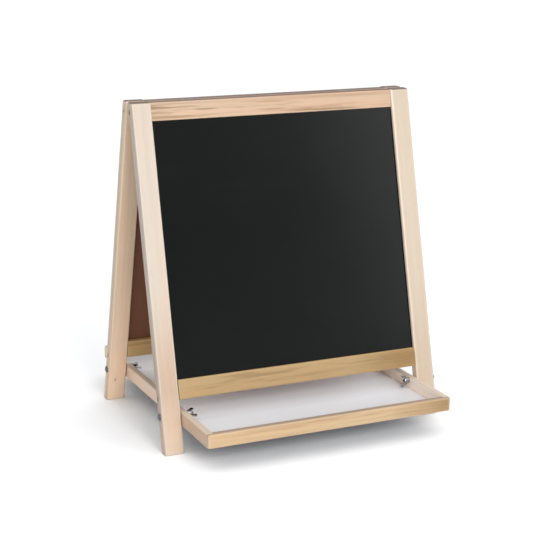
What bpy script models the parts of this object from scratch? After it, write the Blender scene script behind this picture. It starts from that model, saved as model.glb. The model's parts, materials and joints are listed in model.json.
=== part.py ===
"""Two-sided tabletop easel: two hinged board frames with a tray bolted through their legs.

Metres, +Z up, front towards -Y. The origin is on the table, midway between the four feet.
Each frame is drawn lying in its own axes, which hang from the top hinge's axis:
x across, y from the front face in towards the other frame, z up along the legs.
"""
import math

import bmesh
import bpy
from mathutils import Matrix, Vector

# Driving dimensions
HEIGHT = 0.575
LEAN = math.radians(13.85)
OPENING = 0.458
GAP = 0.0003

LEG_WIDTH = 0.035
LEG_DEPTH = 0.018
LEG_ROUND = 0.003
END_ROUND = 0.0012

BOARD_BOTTOM = 0.1248
BOARD_TOP = 0.5606
BOARD_THICKNESS = 0.0032
BOARD_RECESS = 0.007
BOARD_LAP = 0.006
BOARD_GROOVE = 0.0064

LOWER_RAIL_HEIGHT = 0.0336
TOP_RAIL_RECESS = 0.004
TOP_RAIL_DROP = 0.0008
RAIL_ROUND = 0.002

HINGE_DROP = 0.0036
HINGE_STANDOFF = 0.0039
HINGE_X = 0.150
HINGE_LENGTH = 0.038
HINGE_KNUCKLES = 5
LEAF_HEIGHT = 0.022
LEAF_THICKNESS = 0.0015
KNUCKLE_RADIUS = 0.003
PIN_RADIUS = 0.0012
PIN_OVERHANG = 0.0006

TRAY_DEPTH = 0.528
TRAY_BOTTOM = 0.0429
TRAY_HEIGHT = 0.0248
TRAY_SIDE_GAP = 0.001
TRAY_WOOD = 0.012
TRAY_LIP = 0.005
TRAY_ROUND = 0.0022
TRAY_PANEL_RISE = 0.0015
TRAY_PANEL_THICKNESS = 0.0032
TRAY_PANEL_LAP = 0.004

BOLT_HEIGHT = 0.062
BOLT_RADIUS = 0.0025
BOLT_HEAD_RADIUS = 0.006
BOLT_HEAD_HEIGHT = 0.0032
BOLT_OVERHANG = 0.002
WASHER_RADIUS = 0.0052
WASHER_THICKNESS = 0.001
NUT_HEIGHT = 0.008
NUT_BASE_RADIUS = 0.0056
NUT_TOP_RADIUS = 0.0044
WING_SPAN = 0.026
WING_RISE = 0.0148
WING_THICKNESS = 0.0024
WING_TIP_RADIUS = 0.0034

LEG_SCREW_RADIUS = 0.002
LEG_SCREW_HEAD = 0.004
LEG_SCREW_LENGTH = 0.055
LEG_SCREW_SINK = 0.0006
LOWER_SCREW_RISE = 0.0055
LEAF_SCREW_RADIUS = 0.0012
LEAF_SCREW_HEAD = 0.0026
LEAF_SCREW_LENGTH = 0.009
LEAF_SCREW_SPREAD = 0.012
LEAF_SCREW_DROP = 0.0125
NAIL_RADIUS = 0.0009
NAIL_LENGTH = 0.028
NAIL_SINK = 0.0008
NAIL_HEIGHT = 0.011

LEG_SCREW_SPOTS = ("lower", "top")
LEAF_SCREW_SPOTS = ("a", "b")

# Sizes that follow
HINGE_Z = HEIGHT - HINGE_DROP
FRONT_FACE = -(LEG_DEPTH + HINGE_STANDOFF)
INNER_FACE = -HINGE_STANDOFF
HALF_OPENING = OPENING / 2
LEG_OUTER_X = HALF_OPENING + LEG_WIDTH
RAIL_HALF = HALF_OPENING - GAP
TRAY_HALF = HALF_OPENING - TRAY_SIDE_GAP
TRAY_INNER_X = TRAY_HALF - TRAY_WOOD
TRAY_TOP = TRAY_BOTTOM + TRAY_HEIGHT
WASHER_X = TRAY_INNER_X - GAP - WASHER_THICKNESS
NUT_X = WASHER_X - GAP
BOLT_END_X = NUT_X - NUT_HEIGHT - BOLT_OVERHANG

COLOURS = {
    "leg_wood": ((0.80, 0.66, 0.50), 0.48, 0.0),
    "rail_wood": ((0.58, 0.40, 0.22), 0.46, 0.0),
    "tray_wood": ((0.70, 0.52, 0.32), 0.46, 0.0),
    "chalkboard": ((0.018, 0.021, 0.020), 0.62, 0.0),
    "white_board": ((0.78, 0.77, 0.79), 0.40, 0.0),
    "zinc": ((0.62, 0.63, 0.64), 0.30, 1.0),
}


# Frame geometry helpers
def level(height, y):
    """Distance along a leg, from the hinge axis, at which the depth y is at this height."""
    return (height - HINGE_Z + y * math.sin(LEAN)) / math.cos(LEAN)


def along(distance):
    """Place along a leg of a point this far up its front face from the table."""
    return level(0.0, FRONT_FACE) + distance


def leg_centre():
    """Middle of a leg's depth where the tray bolt crosses it, in frame axes and in the room."""
    y = (FRONT_FACE + INNER_FACE) / 2
    z = level(BOLT_HEIGHT, y)
    room_y = y * math.cos(LEAN) + z * math.sin(LEAN)
    return Vector((0.0, y, z)), room_y


BOLT_IN_FRAME, PIVOT_Y = leg_centre()


# Modelling helpers
def clear_scene():
    for thing in list(bpy.data.objects):
        bpy.data.objects.remove(thing, do_unlink=True)


def make_materials():
    made = {}
    for name, (colour, roughness, metallic) in COLOURS.items():
        material = bpy.data.materials.new(name)
        material.use_nodes = True
        shader = material.node_tree.nodes["Principled BSDF"]
        shader.inputs["Base Color"].default_value = (*colour, 1.0)
        shader.inputs["Roughness"].default_value = roughness
        shader.inputs["Metallic"].default_value = metallic
        made[name] = material
    return made


def add_object(name, mesh_data):
    thing = bpy.data.objects.new(name, mesh_data)
    bpy.context.scene.collection.objects.link(thing)
    return thing


def from_bmesh(name, shape):
    bmesh.ops.recalc_face_normals(shape, faces=shape.faces)
    mesh_data = bpy.data.meshes.new(name)
    shape.to_mesh(mesh_data)
    shape.free()
    return add_object(name, mesh_data)


def extrude_outline(name, outline, place, travel):
    """Closed solid: a flat outline, each point put in space by place(), moved along travel."""
    shape = bmesh.new()
    face = shape.faces.new([shape.verts.new(place(*point)) for point in outline])
    grown = bmesh.ops.extrude_face_region(shape, geom=[face])
    moved = [item for item in grown["geom"] if isinstance(item, bmesh.types.BMVert)]
    bmesh.ops.translate(shape, verts=moved, vec=travel)
    return from_bmesh(name, shape)


def bar(name, section, x_low, x_high):
    """A straight length along x of a section drawn in (y, z)."""
    return extrude_outline(name, section, lambda y, z: (x_low, y, z), (x_high - x_low, 0, 0))


def box(name, low, high):
    section = [(low[1], low[2]), (high[1], low[2]), (high[1], high[2]), (low[1], high[2])]
    return bar(name, section, low[0], high[0])


def turned(name, profile, steps, place):
    """Solid of revolution about x: profile is (x, radius) from one end of the axis to the other."""
    shape = bmesh.new()
    corners = [shape.verts.new((x, 0.0, radius)) for x, radius in profile]
    edges = [shape.edges.new(pair) for pair in zip(corners, corners[1:])]
    bmesh.ops.spin(shape, geom=corners + edges, cent=(0, 0, 0), axis=(1, 0, 0),
                   angle=math.tau, steps=steps, use_merge=True)
    bmesh.ops.remove_doubles(shape, verts=shape.verts, dist=0.00001)
    thing = from_bmesh(name, shape)
    thing.data.transform(place)
    return thing


def rod(name, radius, x_from, x_to, steps, place):
    low, high = sorted((x_from, x_to))
    return turned(name, [(low, 0.0), (low, radius), (high, radius), (high, 0.0)], steps, place)


def bevel_edges(thing, chosen, width, segments):
    shape = bmesh.new()
    shape.from_mesh(thing.data)
    edges = [edge for edge in shape.edges if chosen(edge)]
    bmesh.ops.bevel(shape, geom=edges, offset=width, segments=segments, profile=0.5,
                    affect="EDGES", clamp_overlap=True)
    shape.to_mesh(thing.data)
    shape.free()


def runs_along(axis):
    def test(edge):
        direction = edge.verts[1].co - edge.verts[0].co
        return abs(direction[axis]) > 0.9 * direction.length
    return test


def around_end(axis, places, reach=0.0005):
    """Edges that lie in one of the planes across an axis at the given places."""
    def test(edge):
        return any(all(abs(vert.co[axis] - place) < reach for vert in edge.verts) for place in places)
    return test


def join_or_cut(thing, tool, operation):
    """Apply a Boolean with tool to thing, then discard the tool."""
    modifier = thing.modifiers.new(operation, "BOOLEAN")
    modifier.operation = operation
    modifier.solver = "EXACT"
    modifier.object = tool
    depsgraph = bpy.context.evaluated_depsgraph_get()
    result = bpy.data.meshes.new_from_object(thing.evaluated_get(depsgraph))
    thing.modifiers.clear()
    thing.data = result
    result.name = thing.name
    bpy.data.objects.remove(tool, do_unlink=True)


def cut(thing, *tools):
    for tool in tools:
        join_or_cut(thing, tool, "DIFFERENCE")


def unite(thing, *tools):
    for tool in tools:
        join_or_cut(thing, tool, "UNION")


def finish(thing, material, parent, smooth=False):
    thing.data.materials.clear()
    thing.data.materials.append(material)
    if smooth:
        thing.data.shade_smooth()
        thing.data.set_sharp_from_angle(angle=math.radians(35))
    thing.parent = parent
    return thing


def add_empty(name, location, rotation):
    empty = add_object(name, None)
    empty.location = location
    empty.rotation_euler = rotation
    return empty


# Fasteners
def screw_profile(radius, head_radius, length, extra):
    """Countersunk screw from its head at x = 0 inwards; extra widens it into a clearance hole."""
    taper = head_radius - radius
    return [(0.0, 0.0), (0.0, head_radius + extra), (taper, radius + extra),
            (length + extra, radius + extra), (length + extra, 0.0)]


def leg_screw_places(side):
    """Head centres, in frame axes, of the screws through one leg: side is -1 or 1."""
    low_z = along(BOARD_BOTTOM - LOWER_RAIL_HEIGHT + LOWER_SCREW_RISE)
    low_y = (FRONT_FACE + INNER_FACE) / 2
    top_y = (FRONT_FACE + TOP_RAIL_RECESS + INNER_FACE) / 2
    top_z = (along(BOARD_TOP) + level(HEIGHT, top_y)) / 2
    head_x = side * (LEG_OUTER_X - LEG_SCREW_SINK)
    return [Vector((head_x, low_y, low_z)), Vector((head_x, top_y, top_z))]


def inwards(place, side):
    """Put something drawn along +x at a place, pointing from that side towards the middle."""
    turn = Matrix.Rotation(math.pi, 4, "Z") if side > 0 else Matrix.Identity(4)
    return Matrix.Translation(place) @ turn


def leg_screw(name, place, side, extra=0.0):
    profile = screw_profile(LEG_SCREW_RADIUS, LEG_SCREW_HEAD, LEG_SCREW_LENGTH, extra)
    if extra:
        profile = [(-0.002, 0.0), (-0.002, LEG_SCREW_HEAD + extra)] + profile[1:]
    return turned(name, profile, 14, inwards(place, side))


def leaf_screw_places(hinge_x):
    """Centres of the screw heads on a hinge leaf, in frame axes."""
    face = INNER_FACE + GAP + LEAF_THICKNESS
    return [Vector((hinge_x - LEAF_SCREW_SPREAD, face, -LEAF_SCREW_DROP)),
            Vector((hinge_x + LEAF_SCREW_SPREAD, face, -LEAF_SCREW_DROP))]


def leaf_screw(name, place, extra=0.0):
    profile = screw_profile(LEAF_SCREW_RADIUS, LEAF_SCREW_HEAD, LEAF_SCREW_LENGTH, extra)
    if extra:
        profile = [(-0.001, 0.0), (-0.001, LEAF_SCREW_HEAD + extra)] + profile[1:]
    turn = Matrix.Rotation(-math.pi / 2, 4, "Z")
    return turned(name, profile, 12, Matrix.Translation(place) @ turn)


# One board frame
def build_leg(name, side):
    section = [(y, level(height, y)) for y, height in
               ((FRONT_FACE, 0.0), (INNER_FACE, 0.0), (INNER_FACE, HEIGHT), (FRONT_FACE, HEIGHT))]
    inner, outer = sorted((side * HALF_OPENING, side * LEG_OUTER_X))
    leg = bar(name, section, inner, outer)
    long_edges = runs_along(2)
    bevel_edges(leg, long_edges, LEG_ROUND, 4)
    middle = level(HEIGHT / 2, 0.0)

    def end_ring(edge):
        faces = [face.normal for face in edge.link_faces]
        flat = [abs(normal.z) > 0.9 for normal in faces]
        return abs(edge.verts[0].co.z - middle) > HEIGHT / 3 and flat.count(True) == 1

    bevel_edges(leg, end_ring, END_ROUND, 2)
    bolt_place = Matrix.Translation(BOLT_IN_FRAME)
    cut(leg, rod("cutter", BOLT_RADIUS + GAP, side * (HALF_OPENING - 0.01),
                 side * (LEG_OUTER_X + 0.01), 20, bolt_place))
    for place in leg_screw_places(side):
        cut(leg, leg_screw("cutter", place, side, GAP))
    groove_x = sorted((side * (HALF_OPENING - 0.01), side * (HALF_OPENING + BOARD_GROOVE)))
    groove_y = FRONT_FACE + BOARD_RECESS
    cut(leg, box("cutter",
                 (groove_x[0], groove_y - GAP, along(BOARD_BOTTOM - BOARD_GROOVE)),
                 (groove_x[1], groove_y + BOARD_THICKNESS + GAP, along(BOARD_TOP + BOARD_GROOVE))))
    return leg


def board_groove(low, high):
    groove_y = FRONT_FACE + BOARD_RECESS
    return box("cutter", (-OPENING, groove_y - GAP, along(low)),
               (OPENING, groove_y + BOARD_THICKNESS + GAP, along(high)))


def build_rail(name, section):
    rail = bar(name, section, -RAIL_HALF, RAIL_HALF)
    bevel_edges(rail, runs_along(0), RAIL_ROUND, 3)
    for side in (-1, 1):
        for place in leg_screw_places(side):
            if section[0][1] < place.z < section[-1][1]:
                cut(rail, leg_screw("cutter", place, side, GAP))
    return rail


def build_lower_rail(name):
    low = along(BOARD_BOTTOM - LOWER_RAIL_HEIGHT)
    high = along(BOARD_BOTTOM)
    section = [(FRONT_FACE, low), (INNER_FACE, low), (INNER_FACE, high), (FRONT_FACE, high)]
    rail = build_rail(name, section)
    cut(rail, board_groove(BOARD_BOTTOM - BOARD_GROOVE, BOARD_BOTTOM + 0.01))
    return rail


def build_top_rail(name):
    low = along(BOARD_TOP)
    front = FRONT_FACE + TOP_RAIL_RECESS
    top = HEIGHT - TOP_RAIL_DROP
    section = [(front, low), (INNER_FACE, low), (INNER_FACE, level(top, INNER_FACE)),
               (front, level(top, front))]
    rail = build_rail(name, section)
    cut(rail, board_groove(BOARD_TOP - 0.01, BOARD_TOP + BOARD_GROOVE))
    for hinge_x in (-HINGE_X, HINGE_X):
        for place in leaf_screw_places(hinge_x):
            cut(rail, leaf_screw("cutter", place, GAP))
    return rail


def build_board(name):
    y = FRONT_FACE + BOARD_RECESS
    half = HALF_OPENING + BOARD_LAP
    return box(name, (-half, y, along(BOARD_BOTTOM - BOARD_LAP)),
               (half, y + BOARD_THICKNESS, along(BOARD_TOP + BOARD_LAP)))


def knuckle_spans(first):
    """x spans, from a hinge's middle, of every second knuckle, starting with knuckle first."""
    pitch = HINGE_LENGTH / HINGE_KNUCKLES
    start = -HINGE_LENGTH / 2
    return [(start + number * pitch + GAP / 2, start + (number + 1) * pitch - GAP / 2)
            for number in range(first, HINGE_KNUCKLES, 2)]


def build_leaf(name, hinge_x, first):
    """A hinge leaf on the inner face, with its knuckles around the hinge's axis."""
    outer = INNER_FACE + GAP
    half = HINGE_LENGTH / 2
    leaf = box(name, (hinge_x - half, outer, -LEAF_HEIGHT), (hinge_x + half, outer + LEAF_THICKNESS, 0.0))
    reach = KNUCKLE_RADIUS + GAP
    for low, high in knuckle_spans(1 - first):
        cut(leaf, box("cutter", (hinge_x + low - GAP * 1.5, -0.01, -reach),
                      (hinge_x + high + GAP * 1.5, 0.01, 0.01)))
    for low, high in knuckle_spans(first):
        unite(leaf, rod("barrel", KNUCKLE_RADIUS, hinge_x + low, hinge_x + high, 20, Matrix.Identity(4)))
    cut(leaf, rod("cutter", PIN_RADIUS + GAP, hinge_x - HINGE_LENGTH, hinge_x + HINGE_LENGTH, 16,
                  Matrix.Identity(4)))
    for place in leaf_screw_places(hinge_x):
        cut(leaf, leaf_screw("cutter", place, GAP))
    return leaf


def build_frame(prefix, parent, materials, facing, first_knuckle):
    """Frame whose pieces are named by their place in the room: facing is -1 on the turned frame."""
    for label, side in (("left", -facing), ("right", facing)):
        finish(build_leg(f"{prefix}_leg_{label}", side), materials["leg_wood"], parent)
        for spot, place in zip(LEG_SCREW_SPOTS, leg_screw_places(side)):
            screw = leg_screw(f"leg_screw_{prefix}_{label}_{spot}", place, side)
            finish(screw, materials["zinc"], parent, smooth=True)
        hinge_x = side * HINGE_X
        leaf = build_leaf(f"hinge_leaf_{prefix}_{label}", hinge_x, first_knuckle)
        finish(leaf, materials["zinc"], parent, smooth=True)
        for spot, place in zip(LEAF_SCREW_SPOTS, leaf_screw_places(hinge_x)):
            screw = leaf_screw(f"hinge_screw_{prefix}_{label}_{spot}", place)
            finish(screw, materials["zinc"], parent, smooth=True)
    finish(build_lower_rail(f"{prefix}_lower_rail"), materials["rail_wood"], parent)
    finish(build_top_rail(f"{prefix}_top_rail"), materials["rail_wood"], parent)
    finish(build_board(f"{prefix}_board"), materials["chalkboard"], parent)


def build_hinge_pins(parent, materials):
    for label, hinge_x in (("left", -HINGE_X), ("right", HINGE_X)):
        half = HINGE_LENGTH / 2 + PIN_OVERHANG
        pin = rod(f"hinge_pin_{label}", PIN_RADIUS, hinge_x - half, hinge_x + half, 12, Matrix.Identity(4))
        finish(pin, materials["zinc"], parent, smooth=True)


# Tray bolts, washers and wing nuts
def head_profile(x):
    """Domed bolt head whose flat underside is at x, growing towards -x."""
    dome_steps = 4
    rim = 0.0008
    profile = []
    for step in range(dome_steps + 1):
        angle = math.pi / 2 * step / dome_steps
        profile.append((x - rim - (BOLT_HEAD_HEIGHT - rim) * math.cos(angle),
                        BOLT_HEAD_RADIUS * math.sin(angle)))
    profile.append((x, BOLT_HEAD_RADIUS))
    return profile


def build_bolt(name, side, place, x_end):
    """Bolt from its head outside the leg in to x_end, both measured from the middle."""
    under_head = -(LEG_OUTER_X + GAP)
    profile = head_profile(under_head)
    profile += [(under_head, BOLT_RADIUS), (-x_end, BOLT_RADIUS), (-x_end, 0.0)]
    turn = Matrix.Rotation(math.pi, 4, "Z") if side > 0 else Matrix.Identity(4)
    return turned(name, profile, 20, Matrix.Translation(place) @ turn)


def build_washer(name, side, place):
    x_low, x_high = sorted((side * WASHER_X, side * (WASHER_X + WASHER_THICKNESS)))
    washer = rod(name, WASHER_RADIUS, x_low, x_high, 24, Matrix.Translation(place))
    cut(washer, rod("cutter", BOLT_RADIUS + GAP, x_low - 0.01, x_high + 0.01, 20,
                    Matrix.Translation(place)))
    return washer


def wing_outline():
    """One wing in (distance from the wall, distance from the bolt's axis), with a round tip."""
    tip_x = WING_RISE - WING_TIP_RADIUS
    tip_r = WING_SPAN / 2 - WING_TIP_RADIUS
    arc = [(tip_x + WING_TIP_RADIUS * math.cos(angle), tip_r + WING_TIP_RADIUS * math.sin(angle))
           for angle in (math.radians(value) for value in range(125, -76, -25))]
    return [(0.0015, NUT_TOP_RADIUS * 0.85), (0.0015, NUT_BASE_RADIUS + 0.001), *arc,
            (NUT_HEIGHT * 0.9, NUT_TOP_RADIUS * 0.85)]


def build_wing_nut(name, side, place, turn_angle):
    """Wing nut whose origin is on its axis; its wings lie along z, then turn by turn_angle."""
    nut = turned(name, [(0.0, 0.0), (0.0, NUT_BASE_RADIUS), (NUT_HEIGHT, NUT_TOP_RADIUS),
                        (NUT_HEIGHT, 0.0)], 24, Matrix.Identity(4))
    for sign in (-1, 1):
        wing = extrude_outline("wing", wing_outline(),
                               lambda x, r: (x, -WING_THICKNESS / 2, sign * r), (0, WING_THICKNESS, 0))
        bevel_edges(wing, lambda edge: not runs_along(1)(edge), 0.0007, 2)
        unite(nut, wing)
    cut(nut, rod("cutter", BOLT_RADIUS + GAP, -0.01, 0.03, 20, Matrix.Identity(4)))
    facing = Matrix.Rotation(math.pi, 4, "Z") if side > 0 else Matrix.Identity(4)
    nut.data.transform(Matrix.Rotation(turn_angle, 4, "X") @ facing)
    nut.location = place + Vector((side * NUT_X, 0.0, 0.0))
    return nut


# Tray
def tray_bolt_places():
    """Bolt axes in tray axes, whose origin is on the front bolts."""
    return {"front": Vector((0.0, 0.0, 0.0)), "rear": Vector((0.0, -2 * PIVOT_Y, 0.0))}


def tray_y(room_y):
    return room_y - PIVOT_Y


def tray_z(height):
    return height - BOLT_HEIGHT


def nail_places():
    """Head centre, in tray axes, of the nail at each tray corner, by its (end, side)."""
    x = TRAY_HALF - NAIL_SINK
    y = TRAY_DEPTH / 2 - (TRAY_LIP + TRAY_WOOD) / 2
    z = tray_z(TRAY_BOTTOM + NAIL_HEIGHT)
    return {(end, side): Vector((side * x, tray_y(end * y), z)) for end in (-1, 1) for side in (-1, 1)}


def nail(name, side, place, extra=0.0):
    profile = [(-extra * 6, 0.0), (-extra * 6, NAIL_RADIUS + extra),
               (NAIL_LENGTH + extra, NAIL_RADIUS + extra), (NAIL_LENGTH + extra, 0.0)]
    return turned(name, profile, 10, inwards(place, side))


def panel_groove():
    """Cutter for the groove that holds the tray's panel."""
    bottom = tray_z(TRAY_BOTTOM + TRAY_PANEL_RISE)
    half_x = TRAY_INNER_X + TRAY_PANEL_LAP
    half_y = TRAY_DEPTH / 2 - TRAY_WOOD + TRAY_PANEL_LAP
    return box("cutter", (-half_x - GAP, tray_y(-half_y) - GAP, bottom - GAP),
               (half_x + GAP, tray_y(half_y) + GAP, bottom + TRAY_PANEL_THICKNESS + GAP))


def build_tray_side(name, side):
    x_low, x_high = sorted((side * TRAY_INNER_X, side * TRAY_HALF))
    end = TRAY_DEPTH / 2 - TRAY_LIP - GAP
    wood = box(name, (x_low, tray_y(-end), tray_z(TRAY_BOTTOM)), (x_high, tray_y(end), tray_z(TRAY_TOP)))
    bevel_edges(wood, runs_along(1), TRAY_ROUND, 3)
    cut(wood, panel_groove())
    for place in tray_bolt_places().values():
        cut(wood, rod("cutter", BOLT_RADIUS + GAP, x_low - 0.01, x_high + 0.01, 20,
                      Matrix.Translation(place)))
    for end in (-1, 1):
        cut(wood, nail("cutter", side, nail_places()[end, side], GAP))
    return wood


def build_tray_rail(name, end):
    """Rail across the tray: its thin ends lap over the ends of the sides."""
    inner_x = TRAY_INNER_X - GAP
    depths = [TRAY_DEPTH / 2, TRAY_DEPTH / 2 - TRAY_LIP, TRAY_DEPTH / 2 - TRAY_WOOD]
    outline = [(-TRAY_HALF, depths[0]), (-TRAY_HALF, depths[1]), (-inner_x, depths[1]),
               (-inner_x, depths[2]), (inner_x, depths[2]), (inner_x, depths[1]),
               (TRAY_HALF, depths[1]), (TRAY_HALF, depths[0])]
    wood = extrude_outline(name, outline, lambda x, y: (x, tray_y(end * y), tray_z(TRAY_BOTTOM)),
                           (0, 0, TRAY_HEIGHT))
    outer_y = tray_y(end * TRAY_DEPTH / 2)

    bevel_edges(wood, around_end(1, [outer_y]), TRAY_ROUND, 3)
    cut(wood, panel_groove())
    for side in (-1, 1):
        cut(wood, nail("cutter", side, nail_places()[end, side], GAP))
    return wood


def build_tray(parent, materials):
    for label, side in (("left", -1), ("right", 1)):
        finish(build_tray_side(f"tray_side_{label}", side), materials["tray_wood"], parent)
    for label, end in (("front", -1), ("rear", 1)):
        finish(build_tray_rail(f"tray_rail_{label}", end), materials["tray_wood"], parent)
    bottom = tray_z(TRAY_BOTTOM + TRAY_PANEL_RISE)
    half_x = TRAY_INNER_X + TRAY_PANEL_LAP
    half_y = TRAY_DEPTH / 2 - TRAY_WOOD + TRAY_PANEL_LAP
    panel = box("tray_panel", (-half_x, tray_y(-half_y), bottom),
                (half_x, tray_y(half_y), bottom + TRAY_PANEL_THICKNESS))
    finish(panel, materials["white_board"], parent)
    for (end, side), place in nail_places().items():
        name = f"tray_nail_{'front' if end < 0 else 'rear'}_{'left' if side < 0 else 'right'}"
        finish(nail(name, side, place), materials["zinc"], parent, smooth=True)


def build_tray_hardware(tray, front_frame, rear_frame, materials):
    zinc = materials["zinc"]
    split_x = HALF_OPENING - TRAY_SIDE_GAP / 2
    # How far each nut's wings are turned from upright
    turns = {("front", -1): 106, ("front", 1): 4, ("rear", -1): 100, ("rear", 1): 35}
    for row, place in tray_bolt_places().items():
        for label, side in (("left", -1), ("right", 1)):
            finish(build_washer(f"washer_{row}_{label}", side, place), zinc, tray, smooth=True)
            nut = build_wing_nut(f"wing_nut_{row}_{label}", side, place, math.radians(turns[row, side]))
            finish(nut, zinc, tray, smooth=True)
    for label, side in (("left", -1), ("right", 1)):
        bolt = build_bolt(f"bolt_front_{label}", side, BOLT_IN_FRAME, BOLT_END_X)
        finish(bolt, zinc, front_frame, smooth=True)
        # The rear frame's axes are turned half round, so this side is its other side
        head = build_bolt(f"bolt_rear_head_{label}", -side, BOLT_IN_FRAME, split_x + GAP / 2)
        finish(head, zinc, rear_frame, smooth=True)
        end = rod(f"bolt_rear_end_{label}", BOLT_RADIUS, side * BOLT_END_X, side * (split_x - GAP / 2),
                  20, Matrix.Translation(tray_bolt_places()["rear"]))
        finish(end, zinc, tray, smooth=True)


def main():
    clear_scene()
    materials = make_materials()
    hinge = (0.0, 0.0, HINGE_Z)
    front_frame = add_empty("front_frame_axes", hinge, (-LEAN, 0.0, 0.0))
    rear_frame = add_empty("rear_frame_axes", hinge, (-LEAN, 0.0, math.pi))
    tray = add_empty("tray_axes", (0.0, PIVOT_Y, BOLT_HEIGHT), (0.0, 0.0, 0.0))
    build_frame("front", front_frame, materials, 1, 0)
    build_frame("rear", rear_frame, materials, -1, 1)
    build_hinge_pins(front_frame, materials)
    build_tray(tray, materials)
    build_tray_hardware(tray, front_frame, rear_frame, materials)


main()
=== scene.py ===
"""Looks of a two-sided tabletop easel: wood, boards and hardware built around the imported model."""
import json
import math

import bmesh
import bpy
from mathutils import Matrix, Vector, noise


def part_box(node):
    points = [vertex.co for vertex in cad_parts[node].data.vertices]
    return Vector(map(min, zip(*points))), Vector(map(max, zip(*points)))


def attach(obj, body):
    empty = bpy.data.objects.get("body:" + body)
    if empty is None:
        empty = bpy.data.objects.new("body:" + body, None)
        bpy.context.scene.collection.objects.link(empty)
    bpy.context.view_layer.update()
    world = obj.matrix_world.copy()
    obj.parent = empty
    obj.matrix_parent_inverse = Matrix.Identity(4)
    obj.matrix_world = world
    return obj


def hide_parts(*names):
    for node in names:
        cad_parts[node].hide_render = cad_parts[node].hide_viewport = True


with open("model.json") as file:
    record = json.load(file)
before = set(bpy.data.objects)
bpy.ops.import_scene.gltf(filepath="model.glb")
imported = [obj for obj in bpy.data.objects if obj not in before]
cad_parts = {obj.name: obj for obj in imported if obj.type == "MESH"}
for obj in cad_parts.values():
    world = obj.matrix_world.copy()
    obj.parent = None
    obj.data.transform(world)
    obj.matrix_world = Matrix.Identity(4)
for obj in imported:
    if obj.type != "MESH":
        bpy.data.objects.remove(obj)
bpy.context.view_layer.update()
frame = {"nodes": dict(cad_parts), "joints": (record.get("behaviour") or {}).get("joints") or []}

NODES = frame["nodes"]
JOINTS = {joint["name"]: joint for joint in frame["joints"]}
SIDES = {"left": -1, "right": 1}
ENDS = {"front": -1, "rear": 1}

# Places that the frame gives
HINGE = Vector(JOINTS["frame_fold"]["pos_m"])
LEAN = math.radians(JOINTS["frame_fold"]["range_deg"][1]) / 2
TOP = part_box("front_leg_left")[1].z
FRONT_AXES = Matrix.Translation(HINGE) @ Matrix.Rotation(-LEAN, 4, "X")
REAR_AXES = Matrix.Translation(HINGE) @ Matrix.Rotation(math.pi, 4, "Z") @ Matrix.Rotation(-LEAN, 4, "X")
FRAME_AXES = {"front": FRONT_AXES, "rear": REAR_AXES}
# Turns from room axes back into each frame's own axes, so that grain follows the pieces
GRAIN_TURN = {"front": (LEAN, 0.0, 0.0), "rear": (-LEAN, 0.0, math.pi), "tray": (0.0, 0.0, 0.0)}
ROOM = Matrix.Identity(4)

# Finishing sizes, in metres: rounding of edges and ends
LEG_ROUND = 0.0032
RAIL_ROUND = 0.0022
TRAY_ROUND = 0.0024
END_ROUND = 0.0014
LEG_TOP_ROUND = 0.0028
SIDE_END_ROUND = 0.0006
RAIL_END_ROUND = 0.0040
# Gap round a piece that is let into wood, and how far a cutter runs out past the wood
CLEAR = 0.0003
EMBED = 0.01
GROOVE_DEPTH = 0.0064
# Bolts: threaded lengths, and the thread itself
BOLT_RADIUS = 0.0025
BOLT_HOLE = 0.0028
REAR_THREAD = 0.004
FRONT_THREAD = 0.016
THREAD_PITCH = 0.0009
THREAD_DEPTH = 0.00045
# Wing nuts: hub, round end of a wing and how far its centre lies inside the nut's outline
HUB_HEIGHT = 0.008
WING_TIP = 0.0034
WING_INSET = 0.0036
MELT_VOXEL = 0.00032
# Hinges
PIN_HOLE = 0.0015
LEAF_PLATE = 0.0014
KNUCKLE_GAP = 0.001
FLOOR_Z = -0.0002

# Year rings per metre, how far the grain wanders in metres, and how tight the knot is
YEAR_RINGS = 420.0
DRIFT = 0.010
KNOT_SCALE = 140.0

# Strength of the dome: at the horizon, its rise towards the zenith, its slope along x and y
SKY_BASE = 0.12
SKY_RISE = 1.40
SKY_ASIDE = (0.05, -0.10)
LAMP_AT = (-0.30, -2.20, 1.20)
LAMP_AIM = (-0.1, 0.0, 0.25)

# The camera: azimuth, elevation and roll in degrees, the point it circles and its distance from it
CAMERA_TURN = (24.942, 14.643, 0.391)
CAMERA_AIM = (0.011895, 0.0, 0.246517)
CAMERA_DISTANCE = 2.6199
CAMERA_LENS = 94.92


def level(height, y):
    """Place along a frame, in its own axes, at which the depth y reaches a height in the room."""
    return (height - HINGE.z + y * math.sin(LEAN)) / math.cos(LEAN)


def box_in(node, axes):
    """Lowest and highest corners of a CAD node, measured in other axes."""
    back = axes.inverted()
    corners = [back @ vertex.co for vertex in NODES[node].data.vertices]
    low = Vector([min(corner[axis] for corner in corners) for axis in range(3)])
    high = Vector([max(corner[axis] for corner in corners) for axis in range(3)])
    return low, high


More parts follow.
